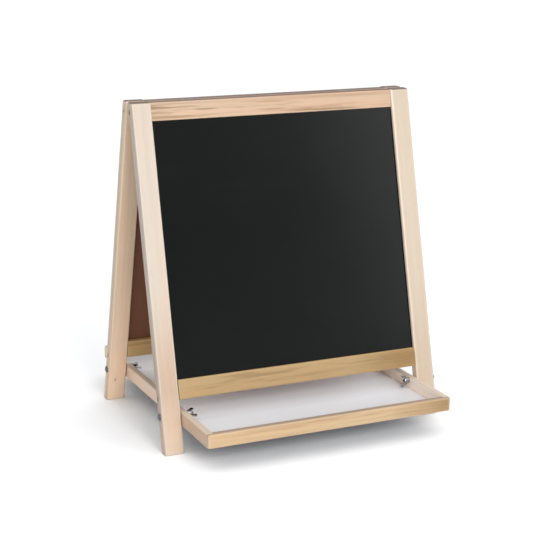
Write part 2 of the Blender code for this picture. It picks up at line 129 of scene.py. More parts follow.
# ---- node trees
class Tree:
    """Short calls for building the nodes of one material, or of a world."""

    def __init__(self, name, world=None):
        self.material = world or bpy.data.materials.new(name)
        self.material.use_nodes = True
        self.nodes = self.material.node_tree.nodes
        self.links = self.material.node_tree.links
        self.shader = self.nodes["Background" if world else "Principled BSDF"]

    def put(self, socket, value):
        if isinstance(value, bpy.types.NodeSocket):
            self.links.new(value, socket)
        elif hasattr(socket.default_value, "__len__") and len(socket.default_value) == 4:
            socket.default_value = (*value[:3], 1.0)
        else:
            socket.default_value = value

    def node(self, kind, output=0, settings=None, **inputs):
        made = self.nodes.new(kind)
        for key, value in (settings or {}).items():
            setattr(made, key, value)
        for key, value in inputs.items():
            name = key.replace("_", " ")
            socket = made.inputs[int(key[1:])] if key[0] == "i" and key[1:].isdigit() else made.inputs[name]
            self.put(socket, value)
        return made.outputs[output]

    def math(self, operation, first, second=0.0):
        return self.node("ShaderNodeMath", settings={"operation": operation}, i0=first, i1=second)

    def times(self, first, second):
        return self.math("MULTIPLY", first, second)

    def plus(self, first, second):
        return self.math("ADD", first, second)

    def minus(self, first, second):
        return self.math("SUBTRACT", first, second)

    def vector(self, operation, first, second):
        return self.node("ShaderNodeVectorMath", settings={"operation": operation}, i0=first, i1=second)

    def scaled(self, vector, scales):
        return self.vector("MULTIPLY", vector, scales)

    def length(self, vector):
        return self.node("ShaderNodeVectorMath", output=1, settings={"operation": "LENGTH"}, i0=vector)

    def joined(self, **parts):
        """A vector of the X, Y and Z given; the others are 0."""
        return self.node("ShaderNodeCombineXYZ", **parts)

    def parts(self, vector):
        """The x, y and z of a vector."""
        made = self.nodes.new("ShaderNodeSeparateXYZ")
        self.links.new(vector, made.inputs[0])
        return made.outputs

    def place(self, output=3):
        """Texture coordinates: a piece's own ones, unless another output is asked for."""
        return self.node("ShaderNodeTexCoord", output=output)

    def noise(self, vector, scale, detail=2.0, roughness=0.5, colour=False):
        return self.node("ShaderNodeTexNoise", output=1 if colour else 0, Vector=vector, Scale=scale,
                         Detail=detail, Roughness=roughness)

    def reach(self, value, start, stop, first=0.0, last=1.0):
        """Smooth change from one level to another while a value goes from start to stop."""
        return self.node("ShaderNodeMapRange", settings={"interpolation_type": "SMOOTHSTEP"},
                         i0=value, i1=start, i2=stop, i3=first, i4=last)

    def ramp(self, value, stops, smooth=False):
        made = self.nodes.new("ShaderNodeValToRGB")
        made.color_ramp.interpolation = "EASE" if smooth else "LINEAR"
        elements = made.color_ramp.elements
        while len(elements) < len(stops):
            elements.new(0.5)
        for element, (place, colour) in zip(elements, stops):
            element.position = place
            element.color = (colour, colour, colour, 1.0) if isinstance(colour, float) else (*colour, 1.0)
        self.links.new(value, made.inputs[0])
        return made.outputs[0]

    def rise(self, value, start, stop, smooth=False):
        """0 below the start, 1 above the stop."""
        return self.ramp(value, [(start, 0.0), (stop, 1.0)], smooth)

    def mix(self, factor, first, second, blend="MIX"):
        made = self.nodes.new("ShaderNodeMix")
        made.data_type = "RGBA"
        made.blend_type = blend
        self.put(made.inputs[0], factor)
        self.put(made.inputs[6], first)
        self.put(made.inputs[7], second)
        return made.outputs[2]

    def tinted(self, factor, colour, tint):
        return self.mix(factor, colour, tint, blend="MULTIPLY")

    def attribute(self, name):
        return self.node("ShaderNodeAttribute", output=2, settings={"attribute_name": name})

    def bump(self, height, strength, distance):
        return self.node("ShaderNodeBump", Height=height, Strength=strength, Distance=distance)

    def set(self, **inputs):
        for key, value in inputs.items():
            self.put(self.shader.inputs[key.replace("_", " ")], value)
        return self.material


def own_place(tree, turn):
    """Coordinates along a piece's own axes."""
    return tree.node("ShaderNodeMapping", Vector=tree.place(), Rotation=turn)


def linear(red, green, blue):
    """Scene-linear colour of an 8-bit display colour."""
    def channel(value):
        value /= 255
        return value / 12.92 if value <= 0.04045 else ((value + 0.055) / 1.055) ** 2.4
    return tuple(channel(value) for value in (red, green, blue))


def wood(name, pale, dark, streak, axis, seed, centre=(0.05, 0.09), contrast=0.5, streaks=0.25,
         end_tone=0.80, knot=None, gain=0.8, tints=(), figure=0.0, top_shade=None, left_face_shading=None):
    """Planed, lacquered wood whose grain runs along one of the piece's own axes.

    The rings are cylinders round a pith that lies beside the piece, so flat faces show long
    arches and narrow faces show straight lines. Its three colours are 8-bit display colours.
    """
    pale, dark, streak = (tuple(gain * value for value in linear(*colour)) for colour in (pale, dark, streak))
    tree = Tree(name)
    place = own_place(tree, GRAIN_TURN[name.split("_")[1]])
    parts = tree.parts(place)
    along = parts[axis]
    across = [parts[other] for other in range(3) if other != axis]

    def drawn_out(wide, long, shift, **how):
        """Noise with its own scales across and along the grain."""
        return tree.noise(tree.joined(X=tree.times(across[0], wide), Y=tree.times(across[1], wide),
                                      Z=tree.plus(tree.times(along, long), shift)), 1.0, **how)

    # Wandering of the grain, slow along the piece
    wander = drawn_out(9.0, 2.2, seed * 7.3, detail=2.0, colour=True)
    wander = tree.vector("SUBTRACT", wander, (0.5, 0.5, 0.5))
    bend = tree.parts(tree.scaled(wander, (DRIFT, DRIFT, DRIFT)))
    lean = tree.noise(tree.joined(X=seed * 3.1, Z=along), 1.6, detail=1.0)
    lean = tree.times(tree.minus(lean, 0.5), DRIFT * 3.0)
    near = tree.plus(tree.plus(across[0], centre[0]), bend[0])
    far = tree.plus(tree.plus(across[1], centre[1]), tree.plus(bend[1], lean))
    radius = tree.length(tree.joined(X=near, Y=far))
    if knot is not None:
        apart = tree.scaled(tree.vector("SUBTRACT", place, knot), (1.0, 1.0, 0.62))
        away = tree.times(tree.length(apart), KNOT_SCALE)
        eye = tree.ramp(away, [(0.0, 1.0), (0.9, 0.0)], smooth=True)
        core = tree.ramp(away, [(0.08, 1.0), (0.34, 0.0)], smooth=True)
        radius = tree.plus(radius, tree.times(eye, 0.004))

    # Year rings of uneven width: slow rise, quick fall
    spacing = tree.noise(tree.joined(X=radius, Y=seed), 34.0, detail=2.0)
    count = tree.plus(tree.times(radius, YEAR_RINGS), tree.times(spacing, 5.0))
    ring = tree.ramp(tree.math("FRACT", count), [(0.0, 0.0), (0.45, 0.22), (0.86, 1.0), (1.0, 0.0)])
    year = tree.noise(tree.joined(X=radius, Y=seed + 5.0), 120.0, detail=1.0)
    year = tree.ramp(year, [(0.3, 0.25), (0.7, 1.0)])
    ring = tree.times(ring, year)

    # Fibres and pores drawn out along the grain
    fibre = drawn_out(1400.0, 26.0, seed, detail=3.0, roughness=0.65)
    thread = drawn_out(420.0, 7.0, seed + 2.0, detail=2.0, roughness=0.6)
    pore = tree.rise(drawn_out(2300.0, 75.0, seed + 4.0, detail=1.0), 0.66, 0.76)
    band = drawn_out(75.0, 1.5, seed + 8.0, detail=3.0, roughness=0.55)
    cloud = drawn_out(16.0, 3.0, seed + 11.0, detail=2.0)

    tone = tree.times(ring, contrast)
    tone = tree.plus(tone, tree.times(tree.minus(thread, 0.5), 0.35))
    tone = tree.plus(tone, tree.times(tree.minus(cloud, 0.5), 0.5))
    tone = tree.rise(tone, 0.0, 0.9)
    colour = tree.mix(tone, pale, dark)
    heart = tree.rise(band, 0.52, 0.72, smooth=True)
    colour = tree.mix(tree.times(heart, streaks), colour, streak)
    flame = drawn_out(120.0, 6.5, seed + 14.0, detail=3.0, roughness=0.6)
    spread = drawn_out(24.0, 3.2, seed + 17.0, detail=1.0)
    flame = tree.times(tree.rise(flame, 0.47, 0.62, smooth=True), tree.rise(spread, 0.42, 0.60, smooth=True))
    colour = tree.mix(tree.times(flame, figure), colour, streak)
    blush = drawn_out(48.0, 2.6, seed + 21.0, detail=1.0)
    colour = tree.mix(tree.rise(blush, 0.38, 0.62, smooth=True), colour,
                      tree.tinted(1.0, colour, (1.035, 0.975, 0.95)))
    fine = tree.ramp(fibre, [(0.25, 0.93), (0.75, 1.04)])
    colour = tree.tinted(1.0, colour, fine)
    colour = tree.mix(tree.times(pore, 0.22), colour, tuple(0.55 * value for value in dark))
    if knot is not None:
        colour = tree.mix(tree.times(eye, 0.45), colour, dark)
        colour = tree.mix(tree.times(core, 0.55), colour, tuple(0.4 * value for value in streak))

    # Slow changes of tone from one stretch of the plank to the next; some of the stretches given are painted
    # light and shade, as noted where they are given
    for start, stop, tint in tints:
        reach = tree.node("ShaderNodeMapRange", i0=along, i1=start, i2=stop)
        colour = tree.tinted(reach, colour, tint)

    # Handled edges are a little paler, sawn ends are darker and show the rings. On the legs, whose end_tone
    # is low, the darker bottom ends also paint the contact shadow under the feet
    edge = tree.attribute("edge")
    rub = tree.noise(place, 60.0, detail=3.0)
    rub = tree.plus(tree.times(rub, 0.5), 0.30)
    colour = tree.mix(tree.times(edge, rub), colour, tuple(min(1.0, 1.12 * value) for value in pale))
    end = tree.attribute("end")
    sawn = tree.tinted(1.0, colour, tree.ramp(ring, [(0.0, end_tone), (1.0, end_tone * 0.72)]))
    colour = tree.mix(end, colour, sawn)

    facing = tree.parts(tree.place(output=1))
    # Painted light and shade on faces that look towards -x: the outer faces of the left legs are darker, the
    # inner face of the front right leg is lighter
    if left_face_shading is not None:
        leftwards = tree.reach(facing[0], -0.25, -0.75)
        colour = tree.tinted(leftwards, colour, left_face_shading)

    # Painted shade: faces that look up are darker, standing in for the weaker light from above
    if top_shade is not None:
        tone_weight = tree.rise(facing[2], 0.35, 0.62, smooth=True)
        colour = tree.mix(tree.times(tone_weight, 0.90), colour, tree.tinted(1.0, fine, top_shade))

    roughness = tree.ramp(thread, [(0.2, 0.44), (0.8, 0.56)])
    relief = tree.plus(tree.times(fibre, 0.6), tree.times(ring, 0.25))
    relief = tree.minus(relief, tree.times(pore, 0.5))
    tree.set(Base_Color=colour, Roughness=roughness, Normal=tree.bump(relief, 0.35, 0.00016),
             Specular_IOR_Level=0.42, Coat_Weight=0.10, Coat_Roughness=0.36)
    return tree.material


def chalkboard_paint(row):
    tree = Tree(f"{row}_board_paint")
    place = own_place(tree, GRAIN_TURN[row])
    cloud = tree.noise(place, 5.0, detail=4.0, roughness=0.6)
    wipe = tree.noise(tree.scaled(place, (6.0, 6.0, 55.0)), 1.0, detail=3.0)
    grit = tree.noise(place, 2600.0, detail=2.0, roughness=0.7)
    peel = tree.noise(place, 420.0, detail=2.0)
    colour = tree.mix(tree.rise(cloud, 0.3, 0.7), (0.0012, 0.0020, 0.0017), (0.0016, 0.0024, 0.0021))
    dusty = tree.times(tree.rise(wipe, 0.55, 0.85), 0.02)
    colour = tree.mix(dusty, colour, (0.10, 0.10, 0.10))
    roughness = tree.plus(tree.times(cloud, 0.04), 0.155)
    height = tree.plus(tree.times(grit, 0.4), peel)
    return tree.set(Base_Color=colour, Roughness=roughness, Normal=tree.bump(height, 0.10, 0.00006),
                    Specular_IOR_Level=0.20)


def bare_hardboard(row, shades):
    """Pressed brown fibre, with the faint screen pattern of its rough side."""
    tree = Tree(f"{row}_bare_hardboard")
    place = own_place(tree, GRAIN_TURN[row])
    fleck = tree.noise(place, 700.0, detail=4.0, roughness=0.7)
    strand = tree.noise(tree.scaled(place, (260.0, 260.0, 900.0)), 1.0, detail=3.0)
    cloud = tree.noise(place, 9.0, detail=3.0)
    screen_x = tree.node("ShaderNodeTexWave", output=1, Vector=place, Scale=260.0, Distortion=0.6)
    turned = tree.node("ShaderNodeMapping", Vector=place, Rotation=(0.0, math.pi / 2, 0.0))
    screen_z = tree.node("ShaderNodeTexWave", output=1, Vector=turned, Scale=260.0, Distortion=0.6)
    screen = tree.times(screen_x, screen_z)
    colour = tree.mix(tree.rise(fleck, 0.3, 0.7), shades[0], shades[1])
    colour = tree.mix(tree.ramp(strand, [(0.55, 0.0), (0.8, 0.6)]), colour, shades[2])
    colour = tree.mix(tree.ramp(cloud, [(0.3, 0.0), (0.7, 0.3)]), colour, shades[3])
    height = tree.plus(tree.times(screen, 0.8), tree.times(fleck, 0.5))
    return tree.set(Base_Color=colour, Roughness=tree.ramp(fleck, [(0.2, 0.58), (0.8, 0.72)]),
                    Normal=tree.bump(height, 0.35, 0.00018), Specular_IOR_Level=0.35)


# Painted light and shade on the white panel: four times the distance from the middle of the tray, and the
# tone there
PANEL_PAINTED_SHADING = [(0.44, 1.19), (0.50, 1.11), (0.56, 0.95), (0.66, 0.87), (0.78, 0.81), (0.84, 0.73),
           (0.94, 0.74)]


def white_coating():
    tree = Tree("white_panel_coating")
    place = tree.place()
    cloud = tree.noise(place, 4.0, detail=3.0)
    peel = tree.noise(place, 340.0, detail=2.0)
    scuff = tree.noise(tree.scaled(place, (90.0, 14.0, 90.0)), 1.0, detail=5.0, roughness=0.7)
    colour = tree.mix(tree.rise(cloud, 0.3, 0.7), (0.765, 0.765, 0.80), (0.80, 0.80, 0.835))
    rubbed = tree.times(tree.rise(scuff, 0.62, 0.82), 0.10)
    colour = tree.mix(rubbed, colour, (0.52, 0.50, 0.50))
    # Painted light and shade: lighter in the middle, where the frames' lower rails shade the panel, darker on
    # the lit outer strips
    outwards = tree.math("ABSOLUTE", tree.parts(place)[1])
    colour = tree.tinted(1.0, colour, tree.ramp(tree.times(outwards, 4.0), PANEL_PAINTED_SHADING))
    roughness = tree.ramp(scuff, [(0.3, 0.30), (0.8, 0.44)])
    return tree.set(Base_Color=colour, Roughness=roughness, Normal=tree.bump(peel, 0.12, 0.00012),
                    Specular_IOR_Level=0.5)


def metal(name, colour, tint, rough, hollow_shade=0.0):
    """Plated steel: mottled plating, fine scratches and, where asked for, painted shade that darkens the
    hollows.
    """
    tree = Tree(name)
    place = tree.place()
    mottle = tree.noise(place, 520.0, detail=3.0)
    scratch = tree.noise(tree.scaled(place, (300.0, 3200.0, 3200.0)), 1.0, detail=2.0)
    shade = tree.mix(tree.rise(mottle, 0.35, 0.65), colour, tint)
    if hollow_shade:
        # Painted shade: hollows, found from the mesh's pointiness, are darkened towards black
        point = tree.node("ShaderNodeNewGeometry", output=7)
        hollow_shade_mask = tree.ramp(point, [(0.44, hollow_shade), (0.50, 0.35 * hollow_shade), (0.56, 0.0)])
        shade = tree.mix(hollow_shade_mask, shade, (0.02, 0.02, 0.02))
    roughness = tree.plus(tree.times(scratch, 0.16), rough - 0.08)
    dents = tree.bump(tree.noise(place, 900.0, detail=2.0), 0.25, 0.00005)
    return tree.set(Base_Color=shade, Metallic=1.0, Roughness=roughness, Normal=dents)


# ---- mesh building
def linked(name, data):
    """New object in the scene for a mesh, a lamp or a camera."""
    made = bpy.data.objects.new(name, data)
    bpy.context.scene.collection.objects.link(made)
    return made


def add_mesh(name, verts, faces, axes=ROOM, attributes=None):
    data = bpy.data.meshes.new(name)
    data.from_pydata(verts, [], faces)
    data.validate()
    for key, values in (attributes or {}).items():
        layer = data.attributes.new(key, "FLOAT", "POINT")
        layer.data.foreach_set("value", values)
    shape = bmesh.new()
    shape.from_mesh(data)
    bmesh.ops.recalc_face_normals(shape, faces=shape.faces)
    shape.to_mesh(data)
    shape.free()
    made = linked(name, data)
    made.matrix_world = axes
    return made


def rounded_section(outline, radius, inset):
    """Points round a convex outline with rounded corners: (u, v, how worn), anticlockwise."""
    steps = 6
    ring = []
    corners = [Vector(corner) for corner in outline]
    for number, corner in enumerate(corners):
        before = (corner - corners[number - 1]).normalized()
        after = (corners[(number + 1) % len(corners)] - corner).normalized()
        first = Vector((before.y, -before.x))
        last = Vector((after.y, -after.x))
        reach = (radius + inset) / (1 + first.dot(last))
        centre = corner - reach * (first + last)
        flat = radius * 0.35
        ring.append((*(centre + radius * first - flat * before), 0.0))
        turn = math.acos(max(-1.0, min(1.0, first.dot(last))))
        start = math.atan2(first.y, first.x)
        for step in range(steps + 1):
            angle = start + turn * step / steps
            tone_weight = 1.0 if 0 < step < steps else 0.5
            ring.append((centre.x + radius * math.cos(angle), centre.y + radius * math.sin(angle), tone_weight))
        ring.append((*(centre + radius * last + flat * after), 0.0))
    return ring


def rectangle(low, high, axis):
    """Outline of a box's cross-section, square to one axis."""
    u, v = [other for other in range(3) if other != axis]
    return [(low[u], low[v]), (high[u], low[v]), (high[u], high[v]), (low[u], high[v])]


def softened_end(radius):
    """Stations of a softened end: distance from it, inset of the section there, and 1 where it is sawn."""
    steps = 4
    stations = []
    for step in range(steps + 1):
        angle = math.pi / 2 * step / steps
        stations.append((radius * (1 - math.cos(angle)), radius * (1 - math.sin(angle)),
                         1.0 if step < 2 else 0.0))
    return stations


def timber(name, outline, start, stop, axis, radius, axes=ROOM, end_radius=END_ROUND, stop_radius=None,
           warp=None, seed=0.0, spacing=0.03):
    """A planed length of wood: rounded edges that vary a little by hand, and softened ends."""
    u_axis, v_axis = [other for other in range(3) if other != axis]
    length = stop - start
    stop_radius = end_radius if stop_radius is None else stop_radius
    stations = softened_end(end_radius)
    tail = [(length - place, inset, sawn) for place, inset, sawn in reversed(softened_end(stop_radius))]
    support = max(end_radius, stop_radius) * 1.4
    count = max(2, round((length - 2 * support) / spacing))
    stations += [(support + (length - 2 * support) * number / count, 0.0, 0.0) for number in range(count + 1)]
    stations += tail
    verts, faces, edge, end = [], [], [], []
    for place, inset, sawn in stations:
        sway = 1.0 + 0.16 * noise.noise(Vector((place * 14.0, seed, 3.7)))
        ring = rounded_section(outline, max(radius * sway - inset, radius * 0.3), inset)
        near_end = place < end_radius * 1.01 or length - place < stop_radius * 1.01
        for u, v, tone_weight in ring:
            point = Vector((0.0, 0.0, 0.0))
            point[axis] = start + place
            point[u_axis] = u
            point[v_axis] = v
            verts.append(warp(point) if warp else point)
            edge.append(max(tone_weight, 0.8 if near_end else 0.0))
            end.append(sawn)
    size = len(ring)
    for station in range(len(stations) - 1):
        base = station * size
        for spot in range(size):
            beside = (spot + 1) % size
            faces.append((base + spot, base + beside, base + size + beside, base + size + spot))
    faces.append(tuple(range(size)))
    faces.append(tuple(range(len(verts) - size, len(verts))))
    return add_mesh(name, verts, faces, axes, {"edge": edge, "end": end})


def revolve(rows, closed, steps, place):
    """Vertices and faces of rings of points round the x axis; place gives (x, radius) for a row and angle."""
    verts, faces, loops = [], [], []
    for row in rows:
        middle_x, middle_r = place(row, 0.0)
        if middle_r < 1e-9:
            loops.append([len(verts)] * steps)
            verts.append((middle_x, 0.0, 0.0))
            continue
        loops.append(list(range(len(verts), len(verts) + steps)))
        for step in range(steps):
            angle = math.tau * step / steps
            x, radius = place(row, angle)
            verts.append((x, radius * math.cos(angle), radius * math.sin(angle)))
    pairs = list(zip(loops, loops[1:]))
    if closed:
        pairs.append((loops[-1], loops[0]))
    for upper, lower in pairs:
        for step in range(steps):
            beside = (step + 1) % steps
            faces.append(tuple(dict.fromkeys((upper[step], upper[beside], lower[beside], lower[step]))))
    return verts, faces


def turned(name, profile, axes, steps, closed=False):
    """Solid of revolution about its own x axis from (x, radius) points."""
    verts, faces = revolve(profile, closed, steps, lambda row, angle: row)
    return add_mesh(name, verts, faces, axes)


def block(name, low, high, axes=ROOM):
    corners = [(x, y, z) for x in (low[0], high[0]) for y in (low[1], high[1]) for z in (low[2], high[2])]
    faces = [(0, 1, 3, 2), (4, 6, 7, 5), (0, 4, 5, 1), (2, 3, 7, 6), (0, 2, 6, 4), (1, 5, 7, 3)]
    return add_mesh(name, corners, faces, axes)


def slab_faces(count):
    """Faces of a slab whose points are one outline and then the same outline on the other side."""
    faces = [tuple(range(count)), tuple(range(count, 2 * count))]
    for spot in range(count):
        beside = (spot + 1) % count
        faces.append((spot, beside, count + beside, count + spot))
    return faces


def apply_modifiers(thing):
    depsgraph = bpy.context.evaluated_depsgraph_get()
    data = bpy.data.meshes.new_from_object(thing.evaluated_get(depsgraph))
    thing.modifiers.clear()
    thing.data = data
    data.name = thing.name


def combine(thing, tools, operation):
    for tool in tools:
        modifier = thing.modifiers.new(operation, "BOOLEAN")
        modifier.operation = operation
        modifier.solver = "EXACT"
        modifier.object = tool
    bpy.context.view_layer.update()
    apply_modifiers(thing)
    for tool in tools:
        bpy.data.objects.remove(tool, do_unlink=True)


def welded(thing, gap=0.000002):
    """Merge points that lie closer together than the gap."""
    made = bmesh.new()
    made.from_mesh(thing.data)
    bmesh.ops.remove_doubles(made, verts=made.verts, dist=gap)
    bmesh.ops.dissolve_degenerate(made, edges=made.edges, dist=gap)
    made.to_mesh(thing.data)
    made.free()


def cut(thing, tools):
    combine(thing, tools, "DIFFERENCE")


def bevelled(thing, width, angle=40):
    modifier = thing.modifiers.new("bevel", "BEVEL")
    modifier.width = width
    modifier.segments = 2
    modifier.limit_method = "ANGLE"
    modifier.angle_limit = math.radians(angle)
    apply_modifiers(thing)


def dress(thing, materials, body, replaced, sharp=32):
    """Turn a piece into room axes, give it materials and smooth shading, and let it ride on its body."""
    place = thing.matrix_world.copy()
    thing.data.transform(place.to_3x3().to_4x4())
    thing.matrix_world = Matrix.Translation(place.translation)
    thing.data.materials.clear()
    for material in materials:
        thing.data.materials.append(material)
    thing.data.shade_smooth()
    thing.data.set_sharp_from_angle(angle=math.radians(sharp))
    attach(thing, body)
    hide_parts(*replaced)


# ---- materials
# Colours of the painted shade on faces that look up: leg and frame rail tops, tray rail tops, tray side tops
TOP_SHADE = (0.128, 0.083, 0.065)
TRAY_TOP_SHADE = (0.34, 0.25, 0.18)
SIDE_TOP_SHADE = (0.60, 0.50, 0.40)
CREAM = dict(pale=(222, 208, 192), dark=(205, 181, 157), streak=(184, 158, 130))
FOOT_TINT = (-0.34, -0.46, (0.92, 0.815, 0.735))
# Painted light: the lowest stretch of the front left leg is lightened, standing in for light bounced up from
# the floor
TOE_PAINTED_LIGHT = (-0.49, -0.57, (1.33, 1.36, 1.36))
UPRIGHT = dict(axis=2, top_shade=TOP_SHADE)
LEVEL = dict(axis=0, top_shade=TOP_SHADE)
TRAY_SIDE = dict(axis=1, top_shade=SIDE_TOP_SHADE)
TRAY_RAIL = dict(axis=0, top_shade=TRAY_TOP_SHADE)
WOOD_LOOKS = {
    "front_leg_left": dict(
        seed=1.0, contrast=0.26, streaks=0.16, gain=0.72, left_face_shading=(0.72, 0.70, 0.72), end_tone=0.5,
        tints=[FOOT_TINT, TOE_PAINTED_LIGHT], **CREAM, **UPRIGHT),
    "front_leg_right": dict(
        seed=2.7, contrast=0.30, streaks=0.20, gain=0.72, left_face_shading=(1.42, 1.42, 1.46), end_tone=0.5,
        centre=(-0.07, 0.06), tints=[(0.0, -0.01, (1.0, 0.985, 0.93)), (-0.34, -0.46, (0.97, 0.94, 0.92))],
        **CREAM, **UPRIGHT),
    "rear_leg_left": dict(
        seed=4.2, contrast=0.42, streaks=0.40, gain=0.87, left_face_shading=(0.60, 0.62, 0.66), end_tone=0.5,
        pale=(249, 224, 194), dark=(226, 190, 150), streak=(190, 164, 120),
        centre=(0.04, 0.05), knot=(0.250, -0.0039, -0.547), tints=[(-0.34, -0.50, (1.20, 1.14, 1.14))],
        **UPRIGHT),
    "rear_leg_right": dict(
        seed=5.9, contrast=0.36, streaks=0.25, centre=(-0.05, 0.08), **CREAM, **UPRIGHT),
    "front_top_rail": dict(
        seed=7.1, contrast=0.40, streaks=0.6, figure=0.82, gain=0.72, centre=(0.03, 0.05),
        pale=(220, 189, 161), dark=(196, 160, 122), streak=(142, 114, 70), **LEVEL),
    "rear_top_rail": dict(
        seed=8.6, contrast=0.45, streaks=0.5, figure=0.5, centre=(0.05, 0.04),
        pale=(216, 187, 155), dark=(192, 154, 114), streak=(150, 118, 78), **LEVEL),
    "front_lower_rail": dict(
        axis=0, seed=10.3, contrast=0.5, streaks=0.45, figure=0.55, gain=0.69, centre=(0.06, 0.03),
        pale=(200, 169, 119), dark=(176, 144, 94), streak=(146, 118, 70),
        # The darker right end is painted shade, as if the light fell off away from the left
        tints=[(0.10, 0.20, (0.75, 0.65, 0.50))]),
    "rear_lower_rail": dict(
        axis=0, seed=11.8, contrast=0.5, streaks=0.5, figure=0.45, gain=0.98, centre=(0.04, 0.06),
        pale=(213, 180, 126), dark=(184, 149, 96), streak=(150, 121, 71)),
    # The lighter stretch between the legs is painted light, making up for light that the legs and board shut
    # out; the low gain paints this outer face in shade
    "tray_side_left": dict(
        seed=13.2, contrast=0.30, streaks=0.15, gain=0.635, tints=[(-0.19, -0.11, (1.46, 1.52, 1.62))],
        pale=(224, 197, 171), dark=(202, 170, 140), streak=(176, 146, 118), **TRAY_SIDE),
    # Painted light: this side is made much paler than the left one because its inner face is lit
    "tray_side_right": dict(
        seed=14.9, contrast=0.32, streaks=0.2, gain=0.98,
        pale=(252, 238, 224), dark=(232, 208, 184), streak=(206, 178, 148), **TRAY_SIDE),
    "tray_rail_front": dict(
        seed=16.4, contrast=0.5, streaks=0.35, figure=0.40, gain=0.72, centre=(0.05, 0.035),
        pale=(217, 188, 148), dark=(193, 156, 110), streak=(166, 128, 84),
        # The darker right end is painted shade, as if the light fell off away from the left
        tints=[(0.11, 0.21, (0.64, 0.57, 0.43))], **TRAY_RAIL),
    "tray_rail_rear": dict(
        seed=18.0, contrast=0.45, streaks=0.35, figure=0.35, centre=(0.04, 0.045),
        pale=(217, 190, 150), dark=(193, 157, 112), streak=(166, 128, 85), **TRAY_RAIL),
}
WOODS = {node: wood(f"wood_{node}", **look) for node, look in WOOD_LOOKS.items()}
BLACK = {row: chalkboard_paint(row) for row in FRAME_AXES}
BOARD_BACK = (linear(104, 64, 46), linear(142, 95, 69), linear(84, 51, 37), linear(118, 78, 58))
PANEL_BACK = (linear(80, 83, 90), linear(102, 105, 112), linear(63, 66, 72), linear(90, 93, 100))
BARE = {row: bare_hardboard(row, PANEL_BACK if row == "tray" else BOARD_BACK) for row in GRAIN_TURN}
WHITE = white_coating()
ZINC = metal("bright_zinc", (0.60, 0.61, 0.62), (0.40, 0.41, 0.42), 0.17, hollow_shade=0.95)
BOLT_STEEL = metal("bolt_steel", (0.22, 0.22, 0.23), (0.13, 0.13, 0.14), 0.24, hollow_shade=0.95)
SCREW_STEEL = metal("dull_screw_steel", (0.44, 0.33, 0.24), (0.31, 0.22, 0.15), 0.36)
HINGE_STEEL = metal("hinge_steel", (0.34, 0.33, 0.31), (0.26, 0.25, 0.24), 0.34)


# ---- pieces
def side_of(low, high):
    """1 for a box that lies towards x, -1 for one on the other side."""
    return 1 if low.x + high.x > 0 else -1


def near_and_far(low, high):
    """Distances of a box's inner and outer faces from the middle of the easel."""
    return sorted((abs(low.x), abs(high.x)))


def inwards(side):
    """Turn whose x points from that side of the easel, in a piece's own axes, towards the middle."""
    return Matrix.Rotation(math.pi, 4, "Z") if side > 0 else Matrix.Identity(4)


def on_axis(low, high, x=0.0):
    """Move to the line along x through the middle of a box."""
    return Matrix.Translation((x, (low.y + high.y) / 2, (low.z + high.z) / 2))


def rod(name, x_low, x_high, radius, axes, steps=32):
    """Plain cylinder along x, used as a cutter."""
    return turned(name, [(x_low, 0.0), (x_low, radius), (x_high, radius), (x_high, 0.0)], axes, steps)


def soft_rod(name, x_low, x_high, radius, soft, axes, steps):
    """Cylinder along x with chamfered ends."""
    profile = [(x_low, 0.0), (x_low, radius - soft), (x_low + soft, radius), (x_high - soft, radius),
               (x_high, radius - soft), (x_high, 0.0)]
    return turned(name, profile, axes, steps)


def axis_cutter(node, axes, radius, x_low, x_high):
    """Straight hole along x on the line of a CAD node."""
    return rod("hole", x_low, x_high, radius, axes @ on_axis(*box_in(node, axes)))


def grown_box(name, node, axes, grow, low_to=None, high_to=None):
    low, high = box_in(node, axes)
    low = [value - grow for value in low]
    high = [value + grow for value in high]
    for bounds, limits in ((low, low_to), (high, high_to)):
        for axis, value in (limits or {}).items():
            bounds[axis] = value
    return block(name, low, high, axes)


def screw_axes(node, axes):
    """Axes of a screw that runs along x, with x pointing from its head to its tip."""
    low, high = box_in(node, axes)
    side = side_of(low, high)
    place = axes @ on_axis(low, high, high.x if side > 0 else low.x) @ inwards(side)
    return place, high.x - low.x, (high.y - low.y) / 2


def countersink(place, length, head, steps=32):
    """Cutter for a countersunk screw's hole; place's x runs from the head to the tip."""
    extra = CLEAR / 2
    shank = head / 2 + extra
    profile = [(-0.002, 0.0), (-0.002, head + extra), (0.0004, head + extra), (head / 2 + 0.0006, shank),
               (length + extra, shank), (length + extra, 0.0)]
    return turned("countersink", profile, place, steps)


def cross_recess(place, reach, depth, width, turn):
    """Two tapered blades of a cross-head driver, sunk into a head whose face is at x = 0."""
    blades = []
    for quarter in (0, 1):
        spin = Matrix.Rotation(math.radians(turn) + quarter * math.pi / 2, 4, "X")
        blade = block("blade", (-0.004, -1.0, -1.0), (depth, 1.0, 1.0))
        for vertex in blade.data.vertices:
            deep = 0.55 if vertex.co.x > 0 else 1.0
            vertex.co.y *= reach * deep
            vertex.co.z *= width * deep
        blade.matrix_world = place @ spin
        blades.append(blade)
    return blades


def countersunk_screw(node, place, length, head, turn, steps=36):
    shank = head / 2
    thread = shank * 0.82
    profile = [(0.00010, 0.0), (0.00004, head * 0.55), (0.00010, head * 0.93), (0.00022, head * 0.985),
               (0.00042, head), (head / 2 + 0.0004, shank), (length * 0.4, shank), (length * 0.41, thread),
               (length - head, thread), (length - 0.0002, shank * 0.15), (length, 0.0)]
    screw = turned(f"{node}_turned", profile, place, steps)
    cut(screw, cross_recess(place, head * 0.58, head * 0.42, head * 0.11, turn))
    return screw


